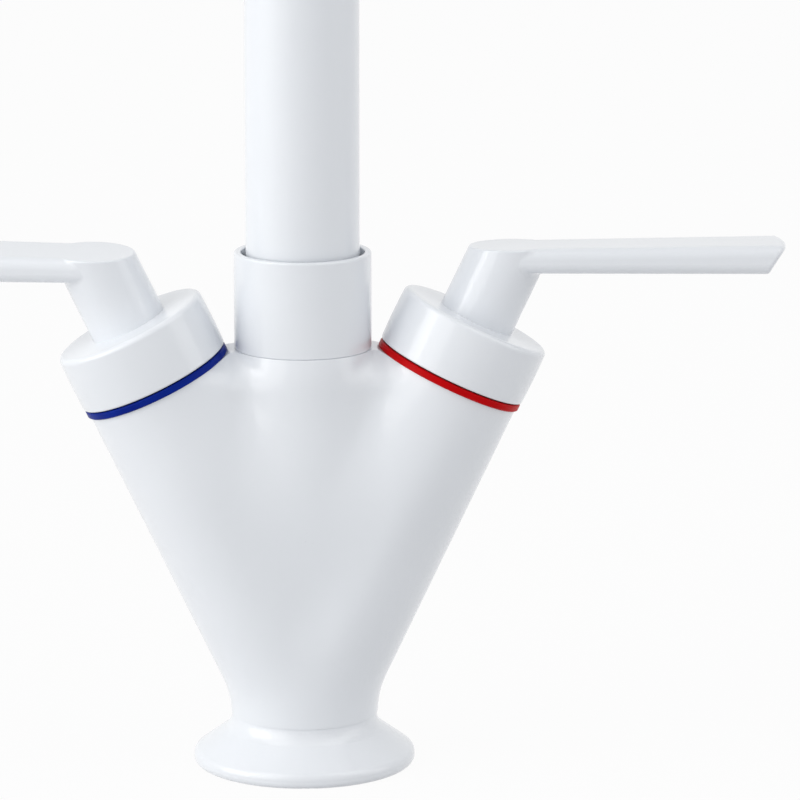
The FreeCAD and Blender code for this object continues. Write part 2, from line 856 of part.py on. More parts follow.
def lever(label):
    """The stub with its socket, and the flattened bar that leaves it."""
    body = turned(label, [
        (size("spindle_socket"), size("stub_spigot_low")),
        (size("stub_spigot"), size("stub_spigot_low")),
        (size("stub_spigot"), size("cap_top")),
        (size("stub_radius") + 0.15, size("cap_top")),
        (size("stub_radius"), 44.0),
        (0.0, 44.0),
        (0.0, size("spindle_socket_top")),
        (size("spindle_socket"), size("spindle_socket_top")),
    ])
    cut_through(body, "XZ_Plane", lambda sketch: draw_outline(sketch, [
        beside_top(-30.0, 0.0), beside_top(30.0, 0.0), beside_top(30.0, 30.0), beside_top(-30.0, 30.0),
    ]), label + "_flat_top", 40.0)
    round_edges(body, lambda middle, length: length > 20.0 and middle.z > 34.0,
                size("lever_crease"), label + "_crease")
    root = lever_section(body, label + "_root", 0.0, size("lever_half_root"), size("lever_thick_root"))
    tip = lever_section(body, label + "_tip", size("lever_reach") + 1.0, size("lever_half_tip"),
                        size("lever_thick_tip"))
    doc.recompute()
    bar = body.newObject("PartDesign::AdditiveLoft", label + "_bar")
    bar.Profile = root
    bar.Sections = [tip]
    bar.Ruled = True
    doc.recompute()
    lever_tip_cut(body, label + "_tip_cut")
    round_edges(body, is_corner, size("lever_corner"), label + "_corner")
    round_edges(body, lambda middle, length: middle.x > 55.0 and length < 20.0,
                size("lever_tip_round"), label + "_tip_round")
    sketch = new_sketch(body, "YZ_Plane", label + "_screw_outline")
    draw_circle(sketch, 0.0, size("screw_height"), size("screw_bore"))
    hole = body.newObject("PartDesign::Pocket", label + "_screw_hole")
    hole.Profile = sketch
    hole.Reversed = True
    bind(hole, Length=12.0)
    sketch.Visibility = False
    doc.recompute()
    return body


# ---------------------------------------------------------------- valve


def valve_housing(label):
    body = turned(label, [
        (size("disc_bore"), -size("valve_low")),
        (size("valve_barrel"), -size("valve_low")),
        (size("valve_barrel"), -size("valve_barrel_top")),
        (size("valve_thread"), -size("valve_barrel_top")),
        (size("valve_thread"), -7.8),
        (9.0, -7.8),
        (9.0, -5.6),
        (size("valve_thread"), -5.6),
        (size("valve_thread"), size("spigot_top")),
        (size("stem_bore"), size("spigot_top")),
        (size("stem_bore"), -size("disc_bore_top")),
        (size("disc_bore"), -size("disc_bore_top")),
    ])
    sketch = new_sketch(body, "XY_Plane", label + "_hexagon")
    bind_place(sketch, "AttachmentOffset", z=size("spigot_top"))
    draw_hexagon(sketch, size("valve_hex_half"))
    draw_circle(sketch, 0.0, 0.0, size("stem_bore"))
    head = body.newObject("PartDesign::Pad", label + "_head")
    head.Profile = sketch
    bind(head, Length=size("valve_hex_top") - size("spigot_top"))
    sketch.Visibility = False
    doc.recompute()
    cut_through(body, "XZ_Plane", lambda windows: draw_outline(windows, [
        (-3.0, -21.5), (3.0, -21.5), (3.0, -16.5), (-3.0, -16.5),
    ]), label + "_windows", 24.0)
    return body


def valve_spindle(label):
    stem = size("stem_radius")
    body = turned(label, [
        (0.0, 0.03 - size("moving_top")),
        (6.8, 0.03 - size("moving_top")),
        (6.8, -14.3),
        (stem, -14.3),
        (stem, -1.2),
        (2.9, -1.2),
        (2.9, 1.0),
        (stem, 1.0),
        (stem, 9.3),
        (3.3, 9.3),
        (3.3, 10.3),
        (stem, 10.3),
        (stem, size("stem_top") - 0.5),
        (stem - 0.5, size("stem_top")),
        (0.0, size("stem_top")),
    ])
    cut_through(body, "XZ_Plane", lambda fork: draw_outline(fork, [
        (-2.6, -23.0), (2.6, -23.0), (2.6, -size("fork_top")), (-2.6, -size("fork_top")),
    ]), label + "_fork", 24.0)
    sketch = new_sketch(body, "XY_Plane", label + "_tooth_outline")
    bind_place(sketch, "AttachmentOffset", z=size("stem_top"))
    draw_circle(sketch, stem, 0.0, 0.32)
    tooth = body.newObject("PartDesign::Pocket", label + "_tooth_gap")
    tooth.Profile = sketch
    bind(tooth, Length=12.0)
    sketch.Visibility = False
    doc.recompute()
    teeth = body.newObject("PartDesign::PolarPattern", label + "_teeth")
    teeth.Originals = [tooth]
    teeth.Axis = (sketch, ["N_Axis"])
    teeth.Angle = 360.0
    teeth.Occurrences = 20
    body.Tip = teeth
    doc.recompute()
    return body


def valve_disc(label, low, thick, across):
    """A ceramic disc with two water ports, across the way the windows face or along it."""
    def draw(sketch):
        draw_circle(sketch, 0.0, 0.0, size("disc_radius"))
        for side in (-1, 1):
            spot = (side * 3.8, 0.0) if across else (0.0, side * 3.8)
            draw_circle(sketch, spot[0], spot[1], 2.0)
    body = new_body(label)
    sketch = new_sketch(body, "XY_Plane", label + "_outline")
    bind_place(sketch, "AttachmentOffset", z=low)
    draw(sketch)
    pad = body.newObject("PartDesign::Pad", label + "_pad")
    pad.Profile = sketch
    bind(pad, Length=thick)
    sketch.Visibility = False
    doc.recompute()
    return body


def valve_clip(label):
    """An open spring ring in the groove of the spindle."""
    inner, outer, low = 3.35, 6.0, 9.4
    gap = math.radians(28.0)
    body = new_body(label)
    sketch = new_sketch(body, "XY_Plane", label + "_outline")
    bind_place(sketch, "AttachmentOffset", z=low)

    def spot(radius, angle):
        return radius * math.cos(angle), radius * math.sin(angle)

    turn = 2.0 * math.pi - 2.0 * gap
    around = [gap + turn * step / 3.0 for step in range(4)]
    draw_outline(sketch, [
        spot(outer, around[0]) + (outer,),
        spot(outer, around[1]) + (outer,),
        spot(outer, around[2]) + (outer,),
        spot(outer, around[3]),
        spot(inner, around[3]) + (-inner,),
        spot(inner, around[2]) + (-inner,),
        spot(inner, around[1]) + (-inner,),
        spot(inner, around[0]),
    ])
    pad = body.newObject("PartDesign::Pad", label + "_pad")
    pad.Profile = sketch
    bind(pad, Length=0.8)
    sketch.Visibility = False
    doc.recompute()
    return body


# ---------------------------------------------------------------- fixings under the foot


def horseshoe(label, thick):
    """A round washer with a slot for the two inlet tails and a hole for the stud."""
    def draw(sketch):
        radius, slot, back = size("horseshoe_radius"), size("horseshoe_slot"), size("horseshoe_slot_back")
        foot_y = -beyond(radius, slot)
        draw_outline(sketch, [
            (slot, foot_y, radius),
            (0.0, radius, radius),
            (-slot, foot_y),
            (-slot, -back, -slot),
            (0.0, slot - back, -slot),
            (slot, -back),
        ])
        draw_circle(sketch, 0.0, size("stud_back"), size("horseshoe_hole"))
    return padded(label, draw, thick)


def fixing_nut():
    def draw(sketch):
        draw_hexagon(sketch, size("nut_half"))
        draw_circle(sketch, 0.0, 0.0, size("stud_bore"))
    return padded("fixing_nut", draw, size("nut_tall"))


# ---------------------------------------------------------------- the whole tap

nodes = {}
nodes["mixer_body"] = mixer_body()
nodes["spout_collar"] = spout_collar()
nodes["spout_tube"] = spout_tube()
nodes["spout_bush"] = spout_bush()
nodes["spout_seals"] = spout_seals()

washer = turned_ring("spout_bearing_washer", 10.9, 13.4, 0.0, size("washer_thick"))
stand_at(washer, z=size("neck_top"))
nodes["spout_bearing_washer"] = washer

keeper = socket_screw("spout_grub_screw", size("screw_radius"), 8.0, 1.25)
stand_at(keeper, y=9.3, z=size("keep_height"), axis=(1, 0, 0), angle=-90.0)
nodes["spout_grub_screw"] = keeper

outlet_y = -2.0 * size("bend_radius")
outlet_z = size("tube_end") - 8.0
nozzle = [
    ("nozzle_housing", nozzle_housing(), 0.0),
    ("nozzle_core", drilled_disc("nozzle_core", 10.9, 1.6, 8.0), 1.7),
    ("nozzle_screen", drilled_disc("nozzle_screen", 10.8, 1.1, 0.6), 9.8),
    ("nozzle_seal", turned_ring("nozzle_seal", 8.6, 10.9, 0.0, 2.2, 0.3), 10.5),
]
for label, body, lift in nozzle:
    stand_at(body, y=outlet_y, z=outlet_z + lift)
    nodes[label] = body

for name, side in (("cold", -1), ("hot", 1)):
    turning = {
        name + "_cap": cap(name + "_cap"),
        name + "_lever": lever(name + "_lever"),
        name + "_valve_spindle": valve_spindle(name + "_valve_spindle"),
        name + "_valve_moving_disc": valve_disc(
            name + "_valve_moving_disc", 0.04 - size("disc_face"),
            size("disc_face") - size("moving_top") - 0.04, False),
        name + "_valve_spindle_seal": wire_ring(name + "_valve_spindle_seal", 3.5, 0.56),
        name + "_valve_clip": valve_clip(name + "_valve_clip"),
    }
    resting = {
        name + "_index_ring": turned_ring(
            name + "_index_ring", size("ring_bore"), size("ring_radius"),
            -size("ring_half"), size("ring_half"), 0.3),
        name + "_valve_housing": valve_housing(name + "_valve_housing"),
        name + "_valve_fixed_disc": valve_disc(
            name + "_valve_fixed_disc", -size("fixed_low"), size("fixed_low") - size("disc_face"), True),
        name + "_valve_seat_seal": turned_ring(
            name + "_valve_seat_seal", 4.6, 8.55, 0.05 - size("seat_low"), -0.05 - size("valve_low"), 0.3),
        name + "_valve_housing_seal": wire_ring(name + "_valve_housing_seal", 9.74, 0.72),
    }
    screw = socket_screw(name + "_lever_screw", size("screw_radius"), 5.0, 1.25)
    for body in turning.values():
        set_on_arm(body, side, SIZES[name + "_turn"])
    for body in resting.values():
        set_on_arm(body, side)
    set_on_arm(resting[name + "_valve_housing_seal"], side, along=-6.7)
    set_on_arm(turning[name + "_valve_spindle_seal"], side, along=-0.1)
    doc.recompute()
    seat = FreeCAD.Placement(FreeCAD.Vector(4.15, 0, SIZES["screw_height"]),
                             FreeCAD.Rotation(FreeCAD.Vector(0, 1, 0), 90))
    screw.Placement = turning[name + "_lever"].Placement.multiply(seat)
    turning[name + "_lever_screw"] = screw
    nodes.update(turning)
    nodes.update(resting)

nodes["foot_seal"] = turned_ring("foot_seal", size("seal_groove_in") + 0.05, size("seal_groove_out") - 0.05,
                                 0.0, size("seal_groove_depth") - 0.05, 0.3)

stud = turned("fixing_stud", [
    (0.0, 0.0), (size("stud_radius") - 0.7, 0.0), (size("stud_radius"), 0.7),
    (size("stud_radius"), size("stud_length") - 0.7), (size("stud_radius") - 0.7, size("stud_length")),
    (0.0, size("stud_length")),
])
stand_at(stud, y=size("stud_back"), z=size("stud_depth") - size("stud_length"))
nodes["fixing_stud"] = stud

rubber = horseshoe("rubber_horseshoe", size("rubber_plate"))
stand_at(rubber, z=-size("deck_gap") - size("rubber_plate"))
nodes["rubber_horseshoe"] = rubber

steel = horseshoe("steel_horseshoe", size("steel_plate"))
stand_at(steel, z=-size("deck_gap") - size("rubber_plate") - size("steel_plate"))
nodes["steel_horseshoe"] = steel

nut = fixing_nut()
stand_at(nut, y=size("stud_back"),
         z=-size("deck_gap") - size("rubber_plate") - size("steel_plate") - size("nut_tall"))
nodes["fixing_nut"] = nut

doc.recompute()

for thing in doc.Objects:
    if "Invalid" in thing.State or "Error" in thing.State:
        raise RuntimeError("%s does not build: %s" % (thing.Label, thing.State))
for label, thing in nodes.items():
    shape = thing.Shape
    if shape.isNull() or not shape.isValid():
        raise RuntimeError(label + " has no valid shape")
    if thing.Label != label:
        raise RuntimeError(label + " is labelled " + thing.Label)
    shape.exportStep("parts/%s.step" % label)
    print(label, len(shape.Solids), round(shape.Volume, 1))
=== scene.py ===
"""The looks of a two handle kitchen tap: finishes, finer shapes for some pieces, light and camera."""

import json
import math

import bpy
from mathutils import Matrix, Vector


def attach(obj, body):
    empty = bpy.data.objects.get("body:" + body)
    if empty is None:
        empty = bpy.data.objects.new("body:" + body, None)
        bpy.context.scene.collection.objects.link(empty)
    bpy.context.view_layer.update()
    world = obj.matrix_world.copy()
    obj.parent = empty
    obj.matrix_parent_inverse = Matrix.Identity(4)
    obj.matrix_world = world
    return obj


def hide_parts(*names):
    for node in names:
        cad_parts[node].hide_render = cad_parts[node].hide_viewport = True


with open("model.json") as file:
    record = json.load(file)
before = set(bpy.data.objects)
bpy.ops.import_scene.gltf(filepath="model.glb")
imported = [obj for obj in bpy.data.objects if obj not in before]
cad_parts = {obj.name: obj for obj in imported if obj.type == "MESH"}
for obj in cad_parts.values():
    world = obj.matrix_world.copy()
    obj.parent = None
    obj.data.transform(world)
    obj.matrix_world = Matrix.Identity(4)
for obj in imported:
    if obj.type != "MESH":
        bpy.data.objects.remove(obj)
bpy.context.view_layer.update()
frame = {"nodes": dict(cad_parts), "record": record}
MM = 0.001

# Places in the part's frame, in millimetres. Z is up from the deck, and the spout points along -Y.
# BACK is along +Y and FORWARD along -Y.
NECK_LOW = 117.1
SPOUT_REACH = 190.0
SCREEN_HEIGHT = 248.1
STUD_BACK = 12.0
STUD_LOW = -52.0
INLET_ACROSS = 7.5
INLET_FORWARD = 5.0
INLET_START = 0.6

# The share of the deck's colour that is plain white where the deck is seen.
DECK_GLOW = 0.95


# ---------------------------------------------------------------- shader maths


class Value:
    """A number that changes over a surface. Arithmetic on it adds Math nodes."""

    def __init__(self, tree, socket):
        self.tree = tree
        self.socket = socket

    def math(self, operation, *others):
        """A Math node on this number and any others that it takes."""
        return math_node(self.tree, operation, self, *others)

    def __add__(self, other):
        return self.math("ADD", other)

    def __sub__(self, other):
        return self.math("SUBTRACT", other)

    def __rsub__(self, other):
        return math_node(self.tree, "SUBTRACT", other, self)

    def __mul__(self, other):
        return self.math("MULTIPLY", other)

    def __truediv__(self, other):
        return self.math("DIVIDE", other)

    def __pow__(self, other):
        return self.math("POWER", other)

    __radd__ = __add__
    __rmul__ = __mul__

    def sine(self):
        return self.math("SINE")

    def cosine(self):
        return self.math("COSINE")

    def at_least(self, floor):
        return self.math("MAXIMUM", floor)

    def at_most(self, ceiling):
        return self.math("MINIMUM", ceiling)

    def between(self, low, high):
        """0 up to low, 1 from high, and a smooth rise from one to the other."""
        node = self.tree.nodes.new("ShaderNodeMapRange")
        node.interpolation_type = "SMOOTHSTEP"
        plug(self.tree, node.inputs["Value"], self)
        node.inputs["From Min"].default_value = low
        node.inputs["From Max"].default_value = high
        return Value(self.tree, node.outputs[0])


def math_node(tree, operation, *terms):
    """Adds a Math node, with its terms in order."""
    node = tree.nodes.new("ShaderNodeMath")
    node.operation = operation
    for place, term in zip(node.inputs, terms):
        plug(tree, place, term)
    return Value(tree, node.outputs[0])


def add_node(tree, kind, settings, sockets):
    """Adds any node: its settings first, then its sockets. Its first output is the result."""
    node = tree.nodes.new(kind)
    for key, value in (settings or {}).items():
        setattr(node, key, value)
    fill_sockets(tree, node, sockets)
    return Value(tree, node.outputs[0])


def fill_sockets(tree, node, sockets):
    """Gives a node's sockets, named with _ for a space, their values or links."""
    for key, item in sockets.items():
        plug(tree, node.inputs[key.replace("_", " ")], item)


def plug(tree, place, item):
    """Links a node's output to a socket, or writes a plain value there."""
    if isinstance(item, Value):
        item = item.socket
    if isinstance(item, bpy.types.NodeSocket):
        tree.links.new(item, place)
    else:
        place.default_value = item


class Finish:
    """One material under the making, with the surface shader at its end."""

    def __init__(self, name, **constants):
        self.material = bpy.data.materials.new(name)
        self.material.use_nodes = True
        self.tree = self.material.node_tree
        self.shader = self.tree.nodes["Principled BSDF"]
        self.set(**constants)

    def node(self, kind, settings=None, **sockets):
        return add_node(self.tree, kind, settings, sockets)

    def set(self, **sockets):
        fill_sockets(self.tree, self.shader, sockets)

    def place(self, stretch=(1.0, 1.0, 1.0)):
        """Object coordinates in metres, stretched."""
        where = self.tree.nodes.new("ShaderNodeTexCoord").outputs["Object"]
        return self.node("ShaderNodeMapping", None, Vector=where, Scale=stretch)

    def grain(self, where, size, detail=3.0, rough=0.5):
        """A cloudy pattern, mostly between 0 and 1, whose clouds are about size metres across."""
        return self.node("ShaderNodeTexNoise", None, Vector=where, Scale=1.0 / size, Detail=detail,
                         Roughness=rough)

    def blend(self, share, first, second):
        """A colour between two."""
        node = self.tree.nodes.new("ShaderNodeMix")
        node.data_type = "RGBA"
        plug(self.tree, node.inputs["Factor"], share)
        plug(self.tree, node.inputs[6], first)
        plug(self.tree, node.inputs[7], second)
        return Value(self.tree, node.outputs[2])

    def relief(self, height, depth):
        """Lets a pattern stand out of the surface by depth metres."""
        self.set(Normal=self.node("ShaderNodeBump", None, Height=height, Distance=depth, Strength=1.0))


def shade(red, green, blue):
    """A colour as it looks on a screen, from 0 to 255, in the shader's linear numbers."""
    linear = [((part / 255 + 0.055) / 1.055) ** 2.4 for part in (red, green, blue)]
    return (*linear, 1.0)


# ---------------------------------------------------------------- finishes


def white_enamel():
    """Glossy baked enamel: faint orange peel, and a very slight clouding of colour and gloss."""
    finish = Finish("white_enamel", IOR=1.5, Coat_Weight=0.55, Coat_Roughness=0.05, Coat_IOR=1.5)
    where = finish.place()
    cloud = finish.grain(where, 0.045, 2.0)
    speck = finish.grain(where, 0.0006, 2.0)
    peel = finish.grain(where, 0.0022, 2.0, 0.4)
    finish.set(
        Base_Color=finish.blend(cloud * 0.8 + speck * 0.2, shade(231, 235, 240), shade(235, 238, 243)),
        Roughness=0.24 + 0.08 * cloud + 0.04 * speck,
    )
    finish.relief(peel + 0.15 * speck, 0.000018)
    return finish.material


def coloured_plastic(name, deep, bright):
    """Moulded plastic of an index ring, with a fine moulded skin. Its colour drifts in small clouds between
    a deep tone and a brighter one, a painted glow and reflection that stands in for light seen through and
    off the plastic.
    """
    finish = Finish(name, IOR=1.49, Specular_IOR_Level=0.06)
    where = finish.place()
    cloud = finish.grain(where, 0.006, 3.0)
    skin = finish.grain(where, 0.0004, 2.0)
    # Painted glow and reflection: the colour clouds from the deep tone to the brighter one at random, not
    # where light falls.
    finish.set(
        Base_Color=finish.blend(cloud, deep, bright),
        Roughness=0.3 + 0.12 * cloud + 0.05 * skin,
    )
    finish.relief(skin, 0.00001)
    return finish.material


def turned_metal(name, dull, clean, roughness, pitch):
    """Metal from a lathe: fine rings round an upright axis, a few stains, bright where it was cut."""
    finish = Finish(name, Metallic=1.0)
    rings = finish.grain(finish.place((0.04, 0.04, 1.0)), pitch, 2.0, 0.7)
    stain = finish.grain(finish.place(), 0.009, 4.0, 0.6)
    patch = stain.between(0.45, 0.7)
    finish.set(
        Base_Color=finish.blend(0.75 * patch + 0.25 * rings, clean, dull),
        Roughness=roughness + 0.16 * patch + 0.12 * rings,
    )
    finish.relief(rings, 0.00002)
    return finish.material


def black_rubber():
    """Moulded rubber, matt and a little dusty."""
    finish = Finish("black_rubber", IOR=1.5, Specular_IOR_Level=0.35)
    where = finish.place()
    dust = finish.grain(where, 0.004, 5.0, 0.65)
    pore = finish.grain(where, 0.0005, 2.0)
    finish.set(
        Base_Color=finish.blend(dust.between(0.4, 0.8), shade(30, 30, 31), shade(58, 57, 56)),
        Roughness=0.7 + 0.2 * dust,
    )
    finish.relief(pore + 0.4 * dust, 0.00004)
    return finish.material


def valve_ceramic():
    """Lapped ceramic, cream white, with a faint speckle."""
    finish = Finish("valve_ceramic", IOR=1.7, Coat_Weight=0.3, Coat_Roughness=0.08)
    where = finish.place()
    speck = finish.grain(where, 0.0005, 3.0)
    cloud = finish.grain(where, 0.006, 2.0)
    finish.set(
        Base_Color=finish.blend(0.5 * speck + 0.5 * cloud, shade(224, 219, 204), shade(242, 239, 230)),
        Roughness=0.16 + 0.1 * speck,
    )
    finish.relief(speck, 0.000006)
    return finish.material


def white_plastic():
    """Plain moulded bearing plastic, slightly waxy."""
    finish = Finish("white_plastic", IOR=1.45, Subsurface_Weight=0.08, Subsurface_Scale=0.002)
    where = finish.place()
    cloud = finish.grain(where, 0.005, 3.0)
    skin = finish.grain(where, 0.0005, 2.0)
    finish.set(
        Base_Color=finish.blend(cloud, shade(222, 223, 220), shade(236, 237, 234)),
        Roughness=0.42 + 0.12 * skin,
    )
    finish.relief(skin, 0.000012)
    return finish.material


FINISHES = {
    "white_enamel": white_enamel(),
    # Each ring has a deep colour and a brighter one, and the brighter one is painted glow and reflection.
    "blue_plastic": coloured_plastic("blue_plastic", shade(2, 16, 104), shade(10, 46, 152)),
    "red_plastic": coloured_plastic("red_plastic", shade(176, 0, 6), shade(206, 2, 12)),
    "turned_brass": turned_metal("turned_brass", shade(176, 138, 74), shade(222, 190, 118), 0.26, 0.0005),
    "black_rubber": black_rubber(),
    "valve_ceramic": valve_ceramic(),
    "plain_steel": turned_metal("plain_steel", shade(146, 148, 152), shade(196, 199, 204), 0.3, 0.0004),
    "white_plastic": white_plastic(),
}


# ---------------------------------------------------------------- shape making


class Shaper:
    """A Geometry Nodes tree under the making, with named inputs."""

    def __init__(self, name, **inputs):
        self.tree = bpy.data.node_groups.new(name, "GeometryNodeTree")
        self.inputs = {}
        for key, value in inputs.items():
            kind = "NodeSocketInt" if isinstance(value, int) else "NodeSocketFloat"
            place = self.tree.interface.new_socket(key, in_out="INPUT", socket_type=kind)
            place.default_value = value
            self.inputs[key] = (place.identifier, value)
        self.tree.interface.new_socket("Geometry", in_out="OUTPUT", socket_type="NodeSocketGeometry")
        self.entry = self.tree.nodes.new("NodeGroupInput")
        self.exit = self.tree.nodes.new("NodeGroupOutput")

    def size(self, key):
        """One of the tree's own inputs, as a number to work with."""
        return Value(self.tree, self.entry.outputs[key])

    def node(self, kind, settings=None, **sockets):
        return add_node(self.tree, kind, settings, sockets)

    def join(self, *parts):
        node = self.tree.nodes.new("GeometryNodeJoinGeometry")
        for part in reversed(parts):
            self.tree.links.new(part.socket, node.inputs[0])
        return Value(self.tree, node.outputs[0])

    def merge(self, *parts):
        """Joins parts that meet, and welds the points that they share."""
        return self.node("GeometryNodeMergeByDistance", None, Geometry=self.join(*parts),
                         Distance=0.002 * MM)

    def point(self, x, y, z):
        return self.node("ShaderNodeCombineXYZ", None, X=x, Y=y, Z=z)

    def make(self, solid, name, finish):
        """Ends the tree in a solid, runs it, and returns the result as a plain mesh object."""
        solid = self.node("GeometryNodeRealizeInstances", None, Geometry=solid)
        solid = self.node("GeometryNodeSetMaterial", None, Geometry=solid, Material=FINISHES[finish])
        self.tree.links.new(solid.socket, self.exit.inputs[0])
        blank = bpy.data.objects.new(name + "_blank", bpy.data.meshes.new(name + "_blank"))
        bpy.context.scene.collection.objects.link(blank)
        modifier = blank.modifiers.new("shape", "NODES")
        modifier.node_group = self.tree
        for identifier, value in self.inputs.values():
            modifier[identifier] = value
        bpy.context.view_layer.update()
        ready = blank.evaluated_get(bpy.context.evaluated_depsgraph_get())
        mesh = bpy.data.meshes.new_from_object(ready)
        mesh.name = name
        blank.modifiers.remove(modifier)
        bpy.data.objects.remove(blank)
        piece = bpy.data.objects.new(name, mesh)
        bpy.context.scene.collection.objects.link(piece)
        return piece


def crisp(piece, degrees=30.0):
    """Smooth shading, kept sharp where faces meet at more than so many degrees."""
    piece.data.shade_smooth()
    piece.data.set_sharp_from_angle(angle=math.radians(degrees))
    return piece


def swan_neck():
    """The spout's tube: straight up, half a circle, and a short straight leg down."""
    shaper = Shaper("swan_neck", low=NECK_LOW * MM, straight=144.9 * MM,
                    bend=SPOUT_REACH / 2 * MM, leg=16.0 * MM, outer=14.0 * MM, wall=1.2 * MM,
                    steps=220, sides=72)
    straight, bend = shaper.size("straight"), shaper.size("bend")
    arc = bend * math.pi
    total = straight + arc + shaper.size("leg")
    share = shaper.node("GeometryNodeSplineParameter")
    along = share * total
    turn = ((along - straight) / bend).at_least(0.0).at_most(math.pi)
    rise = along.at_most(straight)
    fall = (along - straight - arc).at_least(0.0)
    height = shaper.size("low") + rise + bend * turn.sine() - fall
    line = shaper.node("GeometryNodeCurvePrimitiveLine")
    line = shaper.node("GeometryNodeResampleCurve", None, Curve=line, Count=shaper.size("steps"))
    line = shaper.node("GeometryNodeSetPosition", None, Geometry=line,
                       Position=shaper.point(0.0, bend * turn.cosine() - bend, height))
    ring = shaper.node("GeometryNodeCurvePrimitiveCircle", None, Radius=shaper.size("outer"),
                       Resolution=shaper.size("sides"))
    skin = shaper.node("GeometryNodeCurveToMesh", None, Curve=line, Profile_Curve=ring)
    lining = shaper.node("GeometryNodeExtrudeMesh", None, Mesh=skin, Offset_Scale=0.0 - shaper.size("wall"),
                         Individual=False)
    lining = shaper.node("GeometryNodeFlipFaces", None, Mesh=lining)
    tube = shaper.merge(skin, lining)
    return crisp(shaper.make(tube, "swan_neck_tube", "white_enamel"))


def thread(name, finish, radius, depth, length, pitch, inward=False):
    """A screw thread along Z from the origin: a stud with closed ends, or the lining of a tapped hole."""
    sides, rows = 48, round(8 * length / pitch) + 1
    shaper = Shaper(name, radius=radius, depth=depth, length=length, pitch=pitch)

    def wall(height, toothed):
        """A wall round the Z axis, out by a height that fades away at both ends, with teeth or plain."""
        sheet = shaper.node("GeometryNodeMeshGrid", None, Size_X=1.0, Size_Y=1.0, Vertices_X=sides + 1,
                            Vertices_Y=rows)
        spot = shaper.tree.nodes.new("GeometryNodeInputPosition").outputs[0]
        split = shaper.tree.nodes.new("ShaderNodeSeparateXYZ")
        shaper.tree.links.new(spot, split.inputs[0])
        around = Value(shaper.tree, split.outputs[0]) + 0.5
        up = (Value(shaper.tree, split.outputs[1]) + 0.5) * shaper.size("length")
        turn = around * (2 * math.pi)
        share = up.at_most(shaper.size("length") - up) / (shaper.size("pitch") * 0.7)
        share = share.at_most(1.0)
        if toothed:
            phase = (up / shaper.size("pitch") - around).math("FRACT")
            share = share * (2.0 * phase - 1.0).math("ABSOLUTE").between(0.12, 0.88)
        out = shaper.size("radius") + height * share
        return shaper.node("GeometryNodeSetPosition", None, Geometry=sheet,
                           Position=shaper.point(out * turn.cosine(), out * turn.sine(), up))

    if inward:
        parts = [
            shaper.node("GeometryNodeFlipFaces", None, Mesh=wall(0.0 - shaper.size("depth"), True)),
            wall(shaper.size("depth") * 0.1, False),
        ]
    else:
        disc = shaper.node("GeometryNodeMeshCircle", {"fill_type": "NGON"}, Vertices=sides,
                           Radius=shaper.size("radius"))
        lid = shaper.node("GeometryNodeTransform", None, Geometry=disc,
                          Translation=shaper.point(0.0, 0.0, shaper.size("length")))
        underside = shaper.node("GeometryNodeFlipFaces", None, Mesh=disc)
        parts = [wall(shaper.size("depth"), True), lid, underside]
    return crisp(shaper.make(shaper.merge(*parts), name, finish), 40.0)


def woven_screen():
    """The nozzle's woven wire screen: two sets of waved wires square to each other, and a rim."""
    shaper = Shaper("woven_screen", pitch=1.2 * MM, reach=10.25 * MM, wire=0.13 * MM, count=17, steps=64)
    pitch, reach = shaper.size("pitch"), shaper.size("reach")
    line = shaper.node("GeometryNodeCurvePrimitiveLine")
    line = shaper.node("GeometryNodeResampleCurve", None, Curve=line, Count=shaper.size("steps"))
    copies = shaper.tree.nodes.new("GeometryNodeDuplicateElements")
    copies.domain = "SPLINE"
    plug(shaper.tree, copies.inputs["Geometry"], line)
    plug(shaper.tree, copies.inputs["Amount"], shaper.size("count"))
    index = Value(shaper.tree, copies.outputs["Duplicate Index"])
    side = (index - (shaper.size("count") - 1.0) * 0.5) * pitch
    chord = (reach * reach - side * side) ** 0.5
    across = (2.0 * shaper.node("GeometryNodeSplineParameter") - 1.0) * chord
    wave = (across / pitch + index) * math.pi
    wires = shaper.node("GeometryNodeSetPosition", None, Geometry=copies.outputs["Geometry"],
                        Position=shaper.point(across, side, wave.cosine() * shaper.size("wire")))
    section = shaper.node("GeometryNodeCurvePrimitiveCircle", None, Radius=shaper.size("wire"),
                          Resolution=6)
    warp = shaper.node("GeometryNodeCurveToMesh", None, Curve=wires, Profile_Curve=section,
                       Fill_Caps=True)
    weft = shaper.node("GeometryNodeTransform", None, Geometry=warp, Rotation=(math.pi, 0.0, math.pi / 2))
    hoop = shaper.node("GeometryNodeCurvePrimitiveCircle", None, Radius=reach + 0.25 * MM, Resolution=96)
    edge = shaper.node("GeometryNodeCurvePrimitiveCircle", None, Radius=0.28 * MM, Resolution=12)
    rim = shaper.node("GeometryNodeCurveToMesh", None, Curve=hoop, Profile_Curve=edge)
    return crisp(shaper.make(shaper.join(warp, weft, rim), "woven_screen", "plain_steel"), 50.0)


def stand(piece, at):
    """Moves a finished piece by moving its mesh, so that its object stays at the origin."""
    piece.data.transform(Matrix.Translation(Vector(at) * MM))
    return piece


def settle(piece, body, slot, *stands_for):
    """Gives a piece its body and hides the solids that it stands for. The slot is not used."""
    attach(piece, body)
    if stands_for:
        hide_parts(*stands_for)


settle(swan_neck(), "spout", "white_enamel", "spout_tube")
screen = stand(woven_screen(), (0.0, -SPOUT_REACH, SCREEN_HEIGHT))
settle(screen, "spout", "plain_steel", "nozzle_screen")
stud = thread("threaded_stud", "plain_steel", radius=3.42 * MM, depth=0.56 * MM, length=63.0 * MM,
              pitch=1.25 * MM)
settle(stand(stud, (0.0, STUD_BACK, STUD_LOW)), "tap_body", "plain_steel", "fixing_stud")
for side, name in ((-1, "cold"), (1, "hot")):
    lining = thread(name + "_inlet_thread", "white_enamel", radius=4.5 * MM, depth=0.5 * MM,
                    length=13.0 * MM, pitch=1.0 * MM, inward=True)
    settle(stand(lining, (side * INLET_ACROSS, -INLET_FORWARD, INLET_START)), "tap_body", "white_enamel")

for row in frame["record"]["subparts"]:
    solid = frame["nodes"][row["node"]]
    solid.data.materials.clear()
    solid.data.materials.append(FINISHES[row["material_slot"]])


# ---------------------------------------------------------------- floor, light and camera


